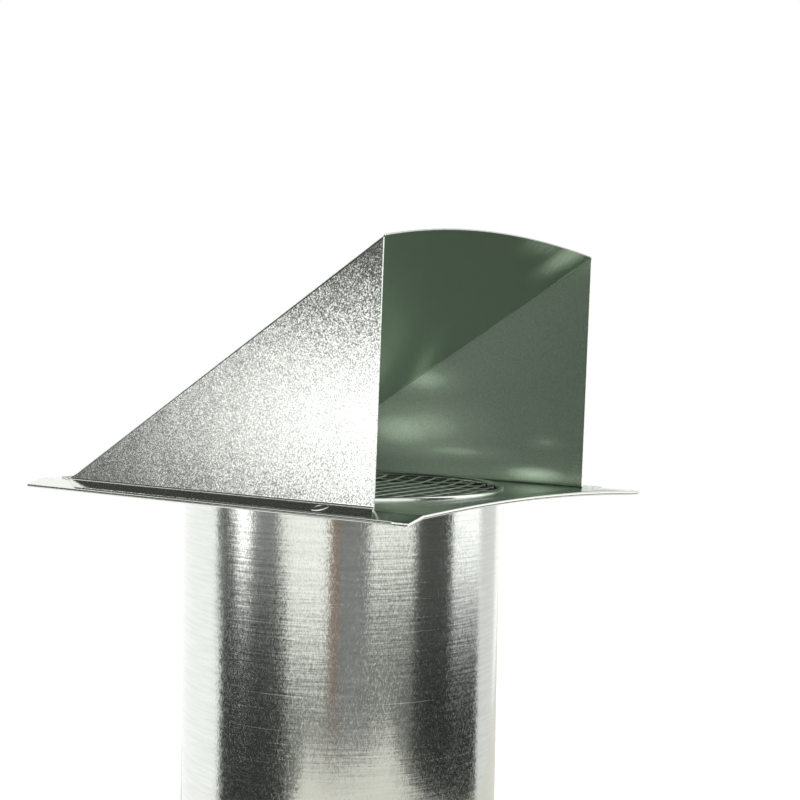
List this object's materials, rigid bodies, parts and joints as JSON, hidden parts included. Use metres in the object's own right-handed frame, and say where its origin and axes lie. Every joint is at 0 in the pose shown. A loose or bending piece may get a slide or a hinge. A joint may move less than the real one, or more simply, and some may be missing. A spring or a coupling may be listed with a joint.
{
  "type": "hooded wall vent",
  "caption": "Galvanised sheet-steel wall vent: wedge hood open at the front on a hemmed wall plate, with a round tailpipe and a wire bird screen in its mouth.",
  "frame": {"origin": "point where the pipe's axis meets the wall, in the plane of the plate's underside", "axes": "+Z out of the wall along the pipe's axis, the hood's mouth faces -Y, which is down when the vent is on a wall; the part is stored standing on its pipe as in the picture"},
  "size_m": [0.121, 0.159, 0.2337],
  "materials": {
    "galvanised_plate": "hot-dip galvanised sheet, bright, fine spangle",
    "galvanised_hood": "hot-dip galvanised sheet, bright, fine spangle",
    "galvanised_pipe": "hot-dip galvanised sheet, bright, fine spangle",
    "zinc_wire": "galvanised welded wire, satin"
  },
  "bodies": {
    "root": {"wall_flange": "galvanised_plate", "hood": "galvanised_hood", "tailpipe": "galvanised_pipe", "bird_screen": "zinc_wire"}
  },
  "joints": []
}
